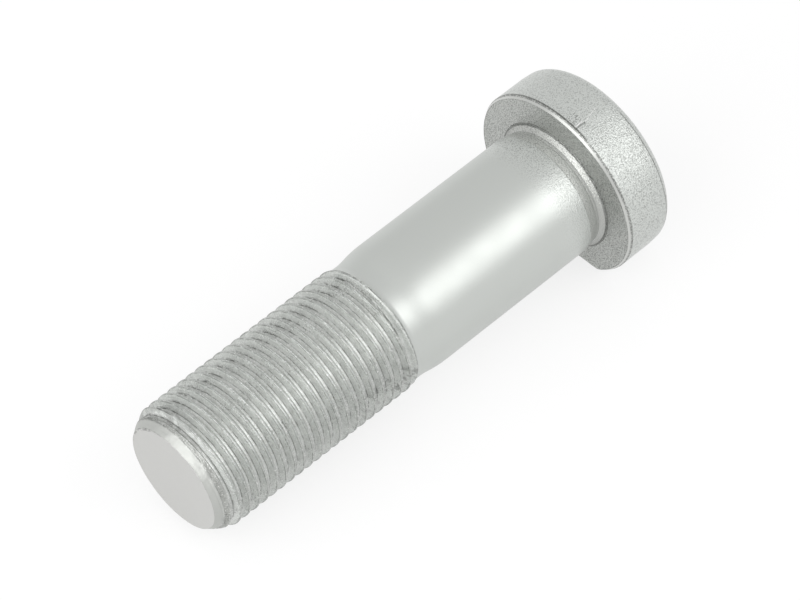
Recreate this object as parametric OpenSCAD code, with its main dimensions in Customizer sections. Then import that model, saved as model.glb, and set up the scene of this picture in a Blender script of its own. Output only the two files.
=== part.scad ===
// Wheel bolt: one forged piece with a round head that is flattened on one side,
// a plain shank and a threaded end. It lies on that flat, which keeps it from rolling,
// with its axis along X. The outer face of the head is at X = 0, and the thread points to -X.

/* [Threaded end] */
// Diameter over the crests of the thread
thread_d = 18; // [16:0.5:24]
// Length of the threaded end, from its flat face to the relief neck
thread_length = 32; // [20:1:60]
// Depth of the chamfer round the end face, measured across the axis
end_chamfer_depth = 1.6; // [0.8:0.1:3]
// Length of that chamfer along the axis
end_chamfer_length = 2.6; // [1:0.1:6]

/* [Relief neck] */
// Depth of the neck between thread and shank, below the crests of the thread
relief_depth = 0.4; // [0.1:0.05:1.2]
// Length of the taper from the thread down to the neck
relief_entry = 1.6; // [0.5:0.1:4]
// Length of the narrowest, straight stretch of the neck
relief_land = 1.2; // [0.5:0.1:4]
// Length of the taper from the neck up to the shank
relief_exit = 3.2; // [0.5:0.1:6]

/* [Shank] */
// Diameter of the plain shank, which centres the bolt in the hub
shank_d = 18; // [16:0.5:22]
// Length of the shank at its full diameter
shank_length = 25.35; // [10:0.05:60]

/* [Undercut below the head] */
// Depth of the undercut below the surface of the shank
undercut_depth = 0.35; // [0.1:0.05:1]
// Length of the taper from the shank down into the undercut
undercut_entry = 0.9; // [0.3:0.1:2]
// Length of the straight floor of the undercut
undercut_land = 0.7; // [0.3:0.1:2]
// Radius of the fillet between the undercut and the seat of the head
root_radius = 0.85; // [0.4:0.05:1.2]

/* [Head] */
// Diameter of the round part of the head
head_d = 26.8; // [25:0.2:40]
// Height of the head, from its outer face to its seat
head_height = 8.2; // [6:0.1:14]
// Depth of the chamfer round the seat, measured across the axis
seat_chamfer_depth = 0.3; // [0.1:0.05:0.8]
// Height of that chamfer along the axis
seat_chamfer_height = 0.45; // [0.1:0.05:1.2]
// Radius of the rounded edge of the outer face
crown_radius = 2.4; // [0.5:0.1:4]
// Distance from the axis to the flat that keeps the bolt from turning
flat_distance = 10.7; // [10.2:0.1:12.2]

/* [Hidden] */
$fn = 96;
thread_r = thread_d / 2;
shank_r = shank_d / 2;
head_r = head_d / 2;
relief_r = thread_r - relief_depth;
undercut_r = shank_r - undercut_depth;
// Distances from the outer face of the head along the axis, from the seat to the end face
seat_z = head_height;
undercut_floor_z = seat_z + root_radius;
undercut_taper_z = undercut_floor_z + undercut_land;
shank_start_z = undercut_taper_z + undercut_entry;
shank_end_z = shank_start_z + shank_length;
relief_floor_z = shank_end_z + relief_exit;
relief_taper_z = relief_floor_z + relief_land;
thread_start_z = relief_taper_z + relief_entry;
bolt_length = thread_start_z + thread_length;
// How far a cutter reaches past what it cuts
overshoot = 1;

// Half section of the head: the crown is a full circle set into the corner
module head_section() {
    polygon([
        [0, 0],
        [head_r - crown_radius, 0],
        [head_r, crown_radius],
        [head_r, seat_z - seat_chamfer_height],
        [head_r - seat_chamfer_depth, seat_z],
        [0, seat_z]
    ]);
    translate([head_r - crown_radius, crown_radius])
        circle(r = crown_radius);
}

// Half section of the fillet at the root of the undercut
module root_fillet_section() {
    difference() {
        translate([undercut_r, seat_z])
            square(root_radius);
        translate([undercut_r + root_radius, undercut_floor_z])
            circle(r = root_radius);
    }
}

// Half section of all that stands on the head: undercut, shank, relief neck and threaded end
module stem_section() {
    polygon([
        [0, seat_z],
        [undercut_r, seat_z],
        [undercut_r, undercut_taper_z],
        [shank_r, shank_start_z],
        [shank_r, shank_end_z],
        [relief_r, relief_floor_z],
        [relief_r, relief_taper_z],
        [thread_r, thread_start_z],
        [thread_r, bolt_length - end_chamfer_length],
        [thread_r - end_chamfer_depth, bolt_length],
        [0, bolt_length]
    ]);
}

// Round head with the flat cut on one side, upright, the flat towards -X
module head() {
    difference() {
        rotate_extrude()
            head_section();
        translate([-flat_distance - head_r, -head_r - overshoot, -overshoot])
            cube([head_r, head_d + 2 * overshoot, seat_z + 2 * overshoot]);
    }
}

// Undercut, shank, relief neck and threaded end, turned about the bolt's axis
module stem() {
    rotate_extrude()
        union() {
            root_fillet_section();
            stem_section();
        }
}

// The upright bolt is laid down so that the flat faces the floor
module wheel_bolt() {
    color([0.76, 0.77, 0.75])
        rotate([0, -90, 0]) {
            head();
            stem();
        }
}

wheel_bolt();
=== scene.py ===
import math
from types import SimpleNamespace

import bmesh
import bpy
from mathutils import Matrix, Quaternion, Vector, noise


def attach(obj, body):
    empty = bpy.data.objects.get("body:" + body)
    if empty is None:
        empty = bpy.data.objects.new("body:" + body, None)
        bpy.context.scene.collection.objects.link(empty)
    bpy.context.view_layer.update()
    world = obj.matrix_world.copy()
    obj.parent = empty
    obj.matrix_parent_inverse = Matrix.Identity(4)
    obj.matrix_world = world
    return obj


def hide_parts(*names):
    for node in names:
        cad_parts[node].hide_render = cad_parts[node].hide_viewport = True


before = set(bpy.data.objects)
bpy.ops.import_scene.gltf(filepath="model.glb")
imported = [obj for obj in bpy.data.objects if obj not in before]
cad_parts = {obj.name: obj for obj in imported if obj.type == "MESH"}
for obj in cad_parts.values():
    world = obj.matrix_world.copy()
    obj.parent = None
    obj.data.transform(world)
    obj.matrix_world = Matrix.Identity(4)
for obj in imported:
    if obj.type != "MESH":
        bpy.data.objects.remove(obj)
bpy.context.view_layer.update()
print("frame loaded:", sorted(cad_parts))

mm = 0.001  # lengths below are in millimetres, the scene is in metres


# the photo's own view, found from the outline of the bolt
view = {
    "aim": (-35.46, 0.37, 0.23),
    "distance": 484.9,
    "heading": 40.76,   # turned from +Y towards +X
    "elevation": 50.81,
    "roll": -3.86,
    "lens": 173.7,
    "sensor": 36.0,
    "clip": (0.01, 20.0),   # metres
}


def placeCamera():
    data = bpy.data.cameras.new("photoCamera")
    camera = bpy.data.objects.new("photoCamera", data)
    bpy.context.scene.collection.objects.link(camera)
    data.sensor_width = view["sensor"]
    data.lens = view["lens"]
    data.clip_start, data.clip_end = view["clip"]
    heading = math.radians(view["heading"])
    rise = math.radians(view["elevation"])
    back = Vector((-math.sin(heading) * math.cos(rise), -math.cos(heading) * math.cos(rise), math.sin(rise)))
    camera.location = (Vector(view["aim"]) + back * view["distance"]) * mm
    camera.rotation_mode = "QUATERNION"
    level = (-back).to_track_quat("-Z", "Y")
    camera.rotation_quaternion = level @ Quaternion((0, 0, 1), math.radians(view["roll"]))
    bpy.context.scene.camera = camera


placeCamera()
print("camera placed")


# the thread is wound first, then the rest of the bolt grows from the thread's ends, ring by ring
bolt = {
    "steps": 128,            # facets in one turn
    "mergeWithin": 0.004,
    "endFace": -74.0,
    "threadEnd": -40.4,      # the wound part stops in the relief neck
    "pitch": 1.5,
    "crestRadius": 9.0,
    "grooveDepth": 0.92,
    "threadAngle": 94.0,     # where the thread starts, in degrees round the axis
    # share of the pitch from the middle of a crest, and share of the depth there
    "threadForm": ((0, 0), (0.05, 0), (0.069, 0.0112), (0.084, 0.0322), (0.228, 0.5),
                   (0.355, 0.93), (0.376, 0.968), (0.405, 1), (0.5, 1)),
    # distance from the end face, and radius left by the chamfer there
    "chamfer": ((-3.1, 7.4), (0.0, 7.4), (0.9, 8.08), (2.6, 9.0), (99.0, 9.0)),
    "lumpHeight": 0.16,      # the first crests are torn
    "lumpScale": 0.9,
    "lumpLength": 4.5,
    "lumpStart": 0.9,        # the chamfer itself stays clean
    "lumpGroove": 0.18,      # share by which the first grooves are deeper
    "fadeFrom": -42.3,       # the grooves run out between these two
    "fadeTo": -40.9,
    "neckRadius": 8.6,
    "neckStart": -42.0,
    # along the axis, and radius
    "neck": ((-39.8, 8.6), (-39.2, 8.62), (-38.5, 8.7), (-37.7, 8.83), (-36.9, 8.93), (-36.1, 8.985),
             (-35.3, 9.0)),
    "shank": ((-30, 9), (-24, 9), (-18, 9), (-13, 9), (-10.8, 9)),
    "undercut": ((-10.7, 8.91), (-9.45, 8.71), (-9.37, 8.65), (-8.9, 8.65)),
    "collar": ((-8.84, 8.74), (-8.43, 9.19), (-8.38, 9.21), (-8.2, 9.24), (-8.15, 9.28), (-8.15, 9.4),
               (-8.2, 9.48)),
    "seat": ((-8.2, 10.5), (-8.2, 12.0), (-8.2, 13.1)),
    "side": ((-7.75, 13.4), (-7.0, 13.4), (-6, 13.4), (-4.5, 13.4), (-2.9, 13.4), (-1.6, 13.29)),
    "crown": ((-1.35, 13.22), (-1.1, 13.09), (-0.8, 12.86), (-0.5, 12.52), (-0.25, 12.08), (-0.08, 11.58),
              (0, 11.0)),
    "outerFace": ((0, 9.0), (0, 5.0)),
    "endRings": (6.5, 3.5),  # radii on the end face
    "closeTo": 0.001,        # how near a cut its edges are looked for
    "headStart": -8.6,
    "flat": 10.7,            # from the axis, below
    "flatSoftness": 0.35,    # rounding between the flat and the round
    "flatReach": 0.3,        # cosine of the widest angle from straight down that it works on
    "sharpAngle": 22.5,
}


def readCurve(points, place):
    for (low, start), (high, end) in zip(points, points[1:]):
        if place <= high:
            return start + (end - start) * max(0, place - low) / (high - low)
    return points[-1][1]


def ease(share):
    share = min(1, max(0, share))
    return share * share * (3 - 2 * share)


def turnAboutX(degrees):
    return Quaternion((1, 0, 0), math.radians(degrees)).to_matrix()


def setRadius(vert, radius):
    away = Vector((0, vert.co.y, vert.co.z)).normalized() * radius
    vert.co = (vert.co.x, away.y, away.z)


def tornShare(x):
    # 1 at the end face, 0 where the thread is whole
    return 1 - ease((x - bolt["endFace"]) / bolt["lumpLength"])


def outerLimit(place):
    # radius that the chamfer and the neck leave at a place on the thread
    fromFace = place.x - bolt["endFace"]
    lump = bolt["lumpHeight"] * max(0, noise.noise(place * bolt["lumpScale"]))
    limit = readCurve(bolt["chamfer"], fromFace)
    limit -= tornShare(place.x) * lump * ease(fromFace / bolt["lumpStart"])
    neck = ease((place.x - bolt["neckStart"]) / (bolt["threadEnd"] - bolt["neckStart"]))
    return limit - (bolt["crestRadius"] - bolt["neckRadius"]) * neck


def windThread(bm):
    # one outline along the thread, swept round once while it moves on by a pitch
    form = bolt["threadForm"]
    shape = [(-share, depth) for share, depth in reversed(form)] + list(form[1:-1])
    first = bolt["endFace"] - 2 * bolt["pitch"]
    turns = math.ceil((bolt["threadEnd"] - first) / bolt["pitch"]) + 1
    line = []
    for turn in range(turns):
        for share, depth in shape:
            radius = bolt["crestRadius"] - depth * bolt["grooveDepth"]
            line.append(bm.verts.new((first + (turn + share) * bolt["pitch"], 0, radius)))
    edges = [bm.edges.new(pair) for pair in zip(line, line[1:])]
    bmesh.ops.rotate(bm, verts=line, cent=(0, 0, 0), matrix=turnAboutX(bolt["threadAngle"]))
    bmesh.ops.spin(bm, geom=line + edges, cent=(0, 0, 0), axis=(1, 0, 0), angle=math.tau, steps=bolt["steps"],
                   dvec=(bolt["pitch"] / bolt["steps"], 0, 0), use_merge=False)
    bmesh.ops.remove_doubles(bm, verts=bm.verts, dist=bolt["mergeWithin"])


def trimThread(bm):
    # the chamfer and the neck cap the crests, and the grooves fade out into the neck
    for vert in bm.verts:
        radius = Vector((vert.co.y, vert.co.z)).length
        fade = ease((bolt["fadeTo"] - vert.co.x) / (bolt["fadeTo"] - bolt["fadeFrom"]))
        groove = (bolt["crestRadius"] - radius) * fade * (1 + tornShare(vert.co.x) * bolt["lumpGroove"])
        setRadius(vert, min(outerLimit(vert.co), bolt["crestRadius"] - groove))
    for x, side in ((bolt["endFace"], -1), (bolt["threadEnd"], 1)):
        bmesh.ops.bisect_plane(bm, geom=bm.verts[:] + bm.edges[:] + bm.faces[:], dist=bolt["closeTo"] / 2,
                               plane_co=(x, 0, 0), plane_no=(side, 0, 0), clear_outer=True)


def openLoop(bm, x):
    return [edge for edge in bm.edges
            if edge.is_boundary and all(abs(vert.co.x - x) < bolt["closeTo"] for vert in edge.verts)]


def growRing(bm, loop, x, radius):
    made = bmesh.ops.extrude_edge_only(bm, edges=loop)["geom"]
    verts = {item for item in made if isinstance(item, bmesh.types.BMVert)}
    for vert in verts:
        setRadius(vert, radius)
        vert.co.x = x
    return [item for item in made if isinstance(item, bmesh.types.BMEdge)
            and item.verts[0] in verts and item.verts[1] in verts]


def flattenHead(bm):
    soft = bolt["flatSoftness"]
    for vert in bm.verts:
        if vert.co.x < bolt["headStart"]:
            continue
        radius = Vector((vert.co.y, vert.co.z)).length
        down = -vert.co.z / radius if radius else 0
        if down <= bolt["flatReach"]:
            continue
        flat = bolt["flat"] / down
        gap = max(0, soft - abs(radius - flat)) / soft
        setRadius(vert, min(radius, flat) - gap * gap * soft / 4)


def makeBolt():
    bm = bmesh.new()
    windThread(bm)
    trimThread(bm)
    print("thread wound:", len(bm.faces), "faces")

    loop = openLoop(bm, bolt["threadEnd"])
    for part in ("neck", "shank", "undercut", "collar", "seat", "side", "crown", "outerFace"):
        for x, radius in bolt[part]:
            loop = growRing(bm, loop, x, radius)
    bmesh.ops.edgeloop_fill(bm, edges=loop)

    loop = openLoop(bm, bolt["endFace"])
    for radius in bolt["endRings"]:
        loop = growRing(bm, loop, bolt["endFace"], radius)
    bmesh.ops.edgeloop_fill(bm, edges=loop)
    flattenHead(bm)
    bmesh.ops.scale(bm, vec=(mm, mm, mm), verts=bm.verts)
    bmesh.ops.recalc_face_normals(bm, faces=bm.faces)
    mesh = bpy.data.meshes.new("wheelBolt")
    bm.to_mesh(mesh)
    bm.free()
    mesh.polygons.foreach_set("use_smooth", [True] * len(mesh.polygons))
    mesh.set_sharp_from_angle(angle=math.radians(bolt["sharpAngle"]))
    piece = bpy.data.objects.new("wheelBolt", mesh)
    bpy.context.scene.collection.objects.link(piece)
    return piece


wheelBolt = makeBolt()
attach(wheelBolt, "root")
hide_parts("wheel_bolt")
print("bolt built:", len(wheelBolt.data.polygons), "faces")


class Wire:
    # a node's output, with the sums on it written as sums
    def __init__(self, tree, socket=None):
        self.tree = tree
        self.socket = socket

    def node(self, kind, settings=None, sockets=None, output=0):
        made = self.tree.nodes.new(kind)
        for name, value in (settings or {}).items():
            setattr(made, name, value)
        for name, value in (sockets or {}).items():
            if isinstance(value, Wire):
                self.tree.links.new(value.socket, made.inputs[name])
            else:
                made.inputs[name].default_value = value
        return Wire(self.tree, made.outputs[output]) if made.outputs else None

    def output(self, name):
        # another output of the same node
        return Wire(self.tree, self.socket.node.outputs[name])

    def sum(self, operation, first, second):
        return self.node("ShaderNodeMath", {"operation": operation}, {0: first, 1: second})

    def __add__(self, other):
        return self.sum("ADD", self, other)

    def __radd__(self, other):
        return self.sum("ADD", other, self)

    def __sub__(self, other):
        return self.sum("SUBTRACT", self, other)

    def __rsub__(self, other):
        return self.sum("SUBTRACT", other, self)

    def __mul__(self, other):
        return self.sum("MULTIPLY", self, other)

    def __rmul__(self, other):
        return self.sum("MULTIPLY", other, self)

    def __truediv__(self, other):
        return self.sum("DIVIDE", self, other)

    def __pow__(self, other):
        return self.sum("POWER", self, other)

    def between(self, low, high):
        # 0 below low, 1 above high, eased between; the other way round when low is the higher
        return self.node("ShaderNodeMapRange", {"interpolation_type": "SMOOTHSTEP"},
                         {"Value": self, "From Min": low, "From Max": high})

    def band(self, low, high, soft=0.03):
        # 1 from low to high
        return self.between(low - soft, low + soft) * (1 - self.between(high - soft, high + soft))

    def mixed(self, first, second):
        # this wire chooses between two colours
        return self.node("ShaderNodeMix", {"data_type": "RGBA"}, {0: self, 6: first, 7: second}, 2)

    def speckle(self, scale, detail, roughness):
        return self.node("ShaderNodeTexNoise", {}, {"Vector": self, "Scale": scale, "Detail": detail,
                                                    "Roughness": roughness})


zinc = {
    "color": (0.577, 0.597, 0.575, 1),       # satin, on the shank and the neck
    "forgedColor": (0.635, 0.657, 0.633, 1),
    "flankColor": (0.615, 0.635, 0.61, 1),   # near the crest
    "deepColor": (0.77, 0.785, 0.765, 1),    # near the root: painted light, lighter where the groove lies in shade
    "crestColor": (0.45, 0.467, 0.446, 1),
    "rootColor": (0.62, 0.635, 0.615, 1),
    "faceColor": (0.59, 0.59, 0.575, 1),
    "chamferColor": (0.49, 0.50, 0.48, 1),   # chamfer round the end face
    # painted light: the undercut is lighter than the shank, filling the recess's shade
    "undercutColor": (0.70, 0.71, 0.69, 1),
    "collarColor": (0.47, 0.48, 0.46, 1),
    # painted shade: the seat under the head is darker than the rest of the head
    "seatColor": (0.52, 0.534, 0.513, 1),
    "rimColor": (0.58, 0.59, 0.57, 1),       # chamfer round the seat
    "firstColor": (0.40, 0.41, 0.39, 1),     # where the first groove starts, beside the chamfer
    "darkColor": (0.16, 0.165, 0.155, 1),
    "lightColor": (0.95, 0.95, 0.94, 1),     # bright flakes and scratches
    "metallic": 0.9,
    "roughness": 0.42,
    "roughnessSpread": 0.12,
    "forgedRoughness": 0.31,
    "flankRoughness": 0.52,
    "rootRoughness": 0.34,
    "chamferRoughness": 0.5,
    # noises: spots in a millimetre, detail, roughness
    "grain": (6.0, 2.0, 0.4),        # left by forging
    "crumbs": (5.5, 2.0, 0.6),
    "lumps": (0.9, 2.0, 0.4),
    "patches": (0.25, 3.0, 0.5),
    "streaks": (3.5, 2.0, 0.5),      # run round the thread
    "streakTurn": 3.0,               # streaks across one radian
    # heights in millimetres
    "forgedBump": 0.1,
    "satinBump": 0.004,
    "threadBump": 0.05,
    "chamferBump": 0.08,
    "nickDepth": 0.08,
}

# where a finish starts, and where it is whole: an X runs along the axis, an R across it
zones = {
    "forgedX": (-17.0, -12.0),
    "forgedShank": 0.6,              # how forged the shank's end looks
    "forgedHeadX": (-8.9, -8.3),
    "headX": (-8.5, -8.3),
    "sideX": (-7.78, -7.73),         # from the seat to the side of the head
    "rimR": (13.06, 13.1),
    "seatInR": (9.2, 9.25),
    "seatOutR": (13.38, 13.42),
    "undercutX": (-10.8, -8.86),
    "collarX": (-8.86, -8.36),
    "neckX": (-41.4, -41.0),
    "faceX": (-73.99, -73.96),
    "woundX": (-73.2, -72.8),
    "firstX": (-72.7, -71.7),
    "crestR": (8.86, 8.96),
    "rootR": (8.25, 8.12),
    "deepR": (8.85, 8.15),
}

# marks: where each lies, which noise breaks it up, and how dark or light it is
marks = {
    # the nick's dark is painted shade inside the dent
    "nick": {"x": (-7.72, -6.0), "y": (-3.42, -3.26), "top": (0.0, 1.0), "dark": 0.5},
    # painted highlight along the nick's lip
    "nickLipHighlight": {"x": (-7.6, -6.3), "y": (-3.16, -3.0), "light": 0.9},
    "scratch": {"x": (-5.9, -3.5), "y": (-3.36, -3.26), "lean": 0.25, "light": 0.7},
    "smudge": {"x": (-7.6, -6.1), "y": (-2.8, -1.4), "soft": 0.35, "grain": (0.45, 0.58), "dark": 0.4},
    "rim": {"radius": (12.99, 13.06), "dark": 0.1, "crumbs": 0.6},
    # painted shadow: a broken dark line where the seat's chamfer meets the side
    "rimEdgeShadow": {"x": (-7.93, -7.66), "crumbs": (0.35, 0.55), "dark": 0.8},
    # painted shade in the corner where the collar meets the seat
    "corner": {"radius": (9.2, 9.46), "x": (-8.0, -8.1), "dark": 0.45},
    "turned": {"taper": (-9.47, -9.38), "floor": (-8.92, -8.84), "dark": 0.25},
    # painted shadow of a burr: a dark line on the side beside the seat's chamfer, towards +Y and +Z only
    "burrShadow": {"x": (-7.74, -7.52), "y": (-6.0, -4.0), "z": (-2.0, 2.0), "dark": 0.3},
    "farLine": {"x": (-1.46, -1.3), "y": (-4.0, -5.5), "dark": 0.6},
    "faceRim": {"x": (-74.1, -73.86), "radius": (7.1, 7.3), "y": (1.0, 4.0), "z": (0.0, 3.0),
                "streaks": (0.45, 0.55), "dark": 0.6},
    # painted shadow: a broken dark line where the thread runs out into the neck, on the -Y side only
    "neckEdgeShadow": {"x": (-41.32, -41.1), "crumbs": (0.35, 0.5), "y": (-4.5, -6.5), "dark": 0.55},
    "crestEdge": {"radius": (8.86, 8.93), "streaks": (0.38, 0.58), "dark": 0.75},
    # painted shade where the flank meets the root
    "rootEdgeShade": {"radius": (8.11, 8.19), "streaks": (0.6, 0.42), "dark": 0.7},
    # painted shade in the thread's roots, towards +Y only
    "rootSideShade": {"radius": (8.02, 8.35), "streaks": (0.6, 0.42), "side": (0.05, 0.48), "dark": 0.35},
    "run": {"streaks": (0.54, 0.62), "dark": 0.4},
    # painted reflection of the floor's shadow: dark patches on the thread's -Y side
    "sideShade": {"x": (-54.0, -46.0), "side": (-0.9, -0.97), "up": (-0.3, 0.15), "soft": 0.1,
             "lumps": (0.54, 0.62), "dark": 0.35},
    "torn": {"x": (-69.5, -71.5), "side": (-0.5, 0.1), "lumps": (0.4, 0.56), "dark": 0.25},
    "tarnish": {"lumps": (0.48, 0.62), "dark": 0.1},
    "pits": {"grain": (0.5, 0.62), "side": (0.2, -1.0), "headDark": 0.38, "headMore": 0.12,
             "shankDark": 0.8, "shankLess": 0.6},
    "seatPits": {"grain": (0.46, 0.58), "dark": 0.34},
    "crumbPits": {"crumbs": (0.56, 0.64), "dark": 0.2, "patches": (0.48, 0.6), "more": 0.35},
    "flakes": {"crumbs": (0.42, 0.34), "light": 0.6},
}


def readPlace(start):
    # where a point of the bolt lies, in millimetres, the noises there, and which finishes it has
    place = start.node("ShaderNodeTexCoord", output="Object")
    inMm = place.node("ShaderNodeVectorMath", {"operation": "SCALE"}, {0: place, "Scale": 1 / mm})
    apart = inMm.node("ShaderNodeSeparateXYZ", {}, {0: inMm})
    x, y, z = (apart.output(axis) for axis in "XYZ")
    radius = (y * y + z * z) ** 0.5
    at = SimpleNamespace(x=x, y=y, z=z, radius=radius)
    at.side = y / radius   # 1 towards +Y, -1 towards -Y
    at.up = z / radius

    at.grain = inMm.speckle(*zinc["grain"])
    at.crumbs = inMm.speckle(*zinc["crumbs"])
    at.lumps = inMm.speckle(*zinc["lumps"])
    at.patches = inMm.speckle(*zinc["patches"])
    ring = place.node("ShaderNodeCombineXYZ", {}, {"X": x + radius, "Y": at.side * zinc["streakTurn"],
                                                   "Z": at.up * zinc["streakTurn"]})
    at.streaks = ring.speckle(*zinc["streaks"])

    onShank = zones["forgedShank"]
    at.forged = x.between(*zones["forgedX"]) * (onShank + x.between(*zones["forgedHeadX"]) * (1 - onShank))
    at.head = x.between(*zones["headX"])
    under = at.head * (1 - x.between(*zones["sideX"]))
    at.rim = under * radius.between(*zones["rimR"])
    at.seat = under * (1 - radius.between(*zones["seatOutR"])) * radius.between(*zones["seatInR"])
    at.undercut = x.band(*zones["undercutX"])
    at.collar = x.band(*zones["collarX"])
    at.wound = (1 - x.between(*zones["neckX"])) * x.between(*zones["woundX"])
    at.crest = at.wound * radius.between(*zones["crestR"])
    at.root = at.wound * radius.between(*zones["rootR"])
    # painted light: the flank turns lighter towards the root, where the groove lies in shade
    at.deep = at.wound * radius.between(*zones["deepR"])
    at.first = at.wound * (1 - x.between(*zones["firstX"]))
    at.face = 1 - x.between(*zones["faceX"])
    at.chamfer = (1 - x.between(*zones["woundX"])) * (1 - at.face)

    mark = marks["nick"]
    at.top = z.between(*mark["top"])
    at.nick = x.band(*mark["x"]) * y.band(*mark["y"]) * at.top
    return at


def headMarks(at):
    # where dirt and shadow sit on the head and beside it
    # painted shade inside the nick
    dark = at.nick * marks["nick"]["dark"]
    mark = marks["smudge"]
    dark += (at.x.band(*mark["x"], mark["soft"]) * at.y.band(*mark["y"], mark["soft"]) * at.top
             * at.grain.between(*mark["grain"]) * mark["dark"])
    mark = marks["rim"]
    dark += at.seat * at.radius.band(*mark["radius"]) * (mark["dark"] + at.crumbs * mark["crumbs"])
    # painted shadow: a broken dark line where the seat's chamfer meets the side
    mark = marks["rimEdgeShadow"]
    dark += at.head * at.x.band(*mark["x"]) * at.crumbs.between(*mark["crumbs"]) * mark["dark"]
    # painted shade in the corner where the collar meets the seat
    mark = marks["corner"]
    dark += at.head * at.radius.band(*mark["radius"]) * at.x.between(*mark["x"]) * mark["dark"]
    mark = marks["turned"]
    dark += (at.x.band(*mark["taper"]) + at.x.band(*mark["floor"])) * mark["dark"]
    # painted shadow of a burr, beside the seat's chamfer, towards +Y and +Z only
    mark = marks["burrShadow"]
    dark += (at.x.band(*mark["x"]) * at.y.between(*mark["y"]) * at.z.between(*mark["z"])
             * (mark["dark"] + at.crumbs))
    mark = marks["farLine"]
    dark += at.head * at.x.band(*mark["x"]) * at.y.between(*mark["y"]) * mark["dark"]
    mark = marks["pits"]
    uneven = at.side.between(*mark["side"])
    onHead = at.head * (mark["headDark"] + uneven * mark["headMore"])
    onShank = (1 - at.head) * (mark["shankDark"] - uneven * mark["shankLess"])
    dark += at.forged * (1 - at.rim) * at.grain.between(*mark["grain"]) * (onHead + onShank)
    mark = marks["seatPits"]
    return dark + at.seat * (1 - at.rim) * at.grain.between(*mark["grain"]) * mark["dark"]


def threadMarks(at):
    # where dirt and shadow sit on the thread and round the end face
    # painted shadow where the thread runs out into the neck, on the -Y side only
    mark = marks["neckEdgeShadow"]
    dark = (at.x.band(*mark["x"]) * at.crumbs.between(*mark["crumbs"]) * at.y.between(*mark["y"])
            * mark["dark"])
    mark = marks["faceRim"]
    dark += (at.x.band(*mark["x"]) * at.radius.between(*mark["radius"]) * at.y.between(*mark["y"])
             * at.z.between(*mark["z"]) * at.streaks.between(*mark["streaks"]) * mark["dark"])
    mark = marks["run"]
    dark += at.first * at.streaks.between(*mark["streaks"]) * mark["dark"]
    # the second of these, at the root, is painted shade where the flank meets the root
    for name in ("crestEdge", "rootEdgeShade"):
        mark = marks[name]
        dark += (at.wound * at.radius.band(*mark["radius"]) * at.streaks.between(*mark["streaks"])
                 * mark["dark"])
    # painted shade in the thread's roots, towards +Y only
    mark = marks["rootSideShade"]
    dark += (at.wound * at.radius.band(*mark["radius"]) * at.streaks.between(*mark["streaks"])
             * at.side.between(*mark["side"]) * mark["dark"])
    # painted reflection of the floor's shadow: dark patches on the thread's -Y side
    mark = marks["sideShade"]
    dark += (at.wound * at.x.between(*mark["x"]) * at.side.between(*mark["side"])
             * at.up.band(*mark["up"], mark["soft"]) * at.lumps.between(*mark["lumps"]) * mark["dark"])
    mark = marks["torn"]
    dark += (at.wound * at.x.between(*mark["x"]) * at.side.between(*mark["side"])
             * at.lumps.between(*mark["lumps"]) * mark["dark"])
    mark = marks["tarnish"]
    dark += at.wound * at.lumps.between(*mark["lumps"]) * mark["dark"]
    mark = marks["crumbPits"]
    return dark + (at.wound * at.crumbs.between(*mark["crumbs"])
                   * (mark["dark"] + at.patches.between(*mark["patches"]) * mark["more"]))


def brightMarks(at):
    # bright flakes on the thread, a painted highlight on the nick's lip, and bare metal in the scratch
    mark = marks["flakes"]
    light = at.wound * at.crumbs.between(*mark["crumbs"]) * mark["light"]
    # painted highlight on the nick's lip
    mark = marks["nickLipHighlight"]
    light += at.x.band(*mark["x"]) * at.y.band(*mark["y"]) * at.top * mark["light"]
    mark = marks["scratch"]
    leaning = at.y - (at.x - mark["x"][0]) * mark["lean"]
    return light + at.x.band(*mark["x"]) * leaning.band(*mark["y"]) * at.top * mark["light"]


def zincMaterial():
    material = bpy.data.materials.new("zincFlake")
    material.use_nodes = True
    tree = material.node_tree
    tree.nodes.clear()
    start = Wire(tree)
    at = readPlace(start)

    color = at.forged.mixed(zinc["color"], zinc["forgedColor"])
    layers = ((at.wound, "flank"), (at.deep, "deep"), (at.crest, "crest"), (at.root, "root"),
              (at.face, "face"), (at.chamfer, "chamfer"), (at.undercut, "undercut"), (at.collar, "collar"),
              (at.seat, "seat"), (at.rim, "rim"), (at.first, "first"), (brightMarks(at), "light"),
              (headMarks(at) + threadMarks(at), "dark"))
    for mask, name in layers:
        color = mask.mixed(color, zinc[name + "Color"])

    roughness = zinc["roughness"] + (at.patches - 0.5) * zinc["roughnessSpread"]
    for mask, name in ((at.forged, "forged"), (at.wound, "flank"), (at.chamfer, "chamfer")):
        roughness += mask * (zinc[name + "Roughness"] - zinc["roughness"])
    roughness += (at.crest + at.root) * (zinc["rootRoughness"] - zinc["flankRoughness"])

    height = (at.grain * (at.forged * (1 - at.rim) * zinc["forgedBump"] + zinc["satinBump"])
              + (at.crumbs + at.streaks) * at.wound * zinc["threadBump"]
              + at.lumps * at.chamfer * zinc["chamferBump"] - at.nick * zinc["nickDepth"])
    bump = start.node("ShaderNodeBump", {}, {"Height": height, "Distance": mm, "Strength": 1.0})
    shader = start.node("ShaderNodeBsdfPrincipled", {}, {"Base Color": color, "Metallic": zinc["metallic"],
                                                         "Roughness": roughness, "Normal": bump})
    start.node("ShaderNodeOutputMaterial", {}, {"Surface": shader})
    return material


wheelBolt.data.materials.append(zincMaterial())
print("zinc material made")


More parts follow.
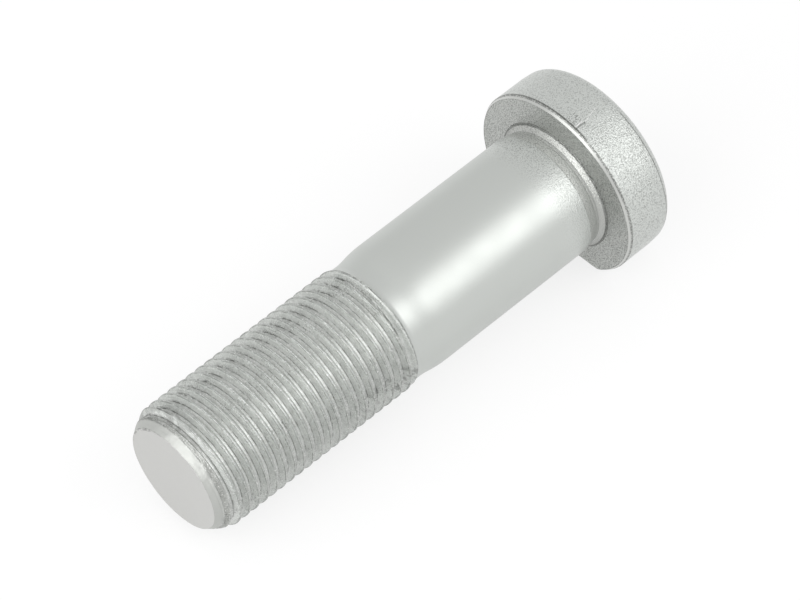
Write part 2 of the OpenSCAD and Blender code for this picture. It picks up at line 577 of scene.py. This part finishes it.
# floor, lamps and world, in metres
studio = {
    "floorSize": 8.0,
    "floorTilt": 1.54,                 # degrees: the bolt rests on its head's flat and on its last crests
    "floorThrough": (-8.2, 0, -10.7),  # millimetres
    "floorColor": (0.22, 0.22, 0.22, 1),
    "white": (1.0, 1.0, 1.0, 1),
    "floorGlow": 0.76,                 # the paper's own light, for the camera and reflections
    "worldStrength": 0.83,             # lights the bolt and shows in it
    # where a lamp stands, seen from the bolt, its distance, size and power
    "lamps": {
        "rightBox": ((0.413, -0.673, 0.613), 0.5, (0.34, 0.34), 0.58),
        "leftBox": ((-0.84, 0.02, 0.54), 0.5, (0.54, 0.56), 1.35),
        "lowBox": ((-0.97, -0.17, 0.17), 0.5, (0.24, 0.12), 0.4),
    },
}


def floorMaterial():
    material = bpy.data.materials.new("floorWhite")
    material.use_nodes = True
    tree = material.node_tree
    tree.nodes.clear()
    path = Wire(tree).node("ShaderNodeLightPath")
    seen = path.output("Is Camera Ray") + path.output("Is Glossy Ray") + path.output("Is Transmission Ray")
    paper = {"Base Color": studio["floorColor"], "Roughness": 1.0, "Specular IOR Level": 0.0}
    plain = path.node("ShaderNodeBsdfPrincipled", {}, paper)
    glow = {"Emission Color": studio["white"], "Emission Strength": studio["floorGlow"]}
    glowing = path.node("ShaderNodeBsdfPrincipled", {}, {**paper, **glow})
    shader = path.node("ShaderNodeMixShader", {}, {0: seen, 1: plain, 2: glowing})
    path.node("ShaderNodeOutputMaterial", {}, {"Surface": shader})
    return material


def makeFloor():
    bm = bmesh.new()
    bmesh.ops.create_grid(bm, x_segments=1, y_segments=1, size=studio["floorSize"] / 2)
    tilt = Quaternion((0, 1, 0), math.radians(studio["floorTilt"])).to_matrix()
    bmesh.ops.rotate(bm, verts=bm.verts, cent=(0, 0, 0), matrix=tilt)
    bmesh.ops.translate(bm, verts=bm.verts, vec=Vector(studio["floorThrough"]) * mm)
    mesh = bpy.data.meshes.new("floor")
    bm.to_mesh(mesh)
    bm.free()
    mesh.materials.append(floorMaterial())
    floor = bpy.data.objects.new("floor", mesh)
    bpy.context.scene.collection.objects.link(floor)


def makeLamp(name, toward, distance, size, power):
    data = bpy.data.lights.new(name, "AREA")
    data.shape = "RECTANGLE"
    data.size, data.size_y = size
    data.energy = power
    lamp = bpy.data.objects.new(name, data)
    bpy.context.scene.collection.objects.link(lamp)
    away = Vector(toward).normalized()
    lamp.location = Vector(view["aim"]) * mm + away * distance
    lamp.rotation_mode = "QUATERNION"
    lamp.rotation_quaternion = (-away).to_track_quat("-Z", "Y")


def makeWorld():
    world = bpy.data.worlds.new("studio")
    bpy.context.scene.world = world
    world.use_nodes = True
    tree = world.node_tree
    tree.nodes.clear()
    path = Wire(tree).node("ShaderNodeLightPath")
    white = studio["white"]
    light = path.node("ShaderNodeBackground", {}, {"Color": white, "Strength": studio["worldStrength"]})
    backdrop = path.node("ShaderNodeBackground", {}, {"Color": white, "Strength": 1.0})
    shader = path.node("ShaderNodeMixShader", {}, {0: path.output("Is Camera Ray"), 1: light, 2: backdrop})
    path.node("ShaderNodeOutputWorld", {}, {"Surface": shader})


makeFloor()
for lampName, lampValues in studio["lamps"].items():
    makeLamp(lampName, *lampValues)
makeWorld()
bpy.context.scene.view_settings.view_transform = "Standard"
print("studio lit")
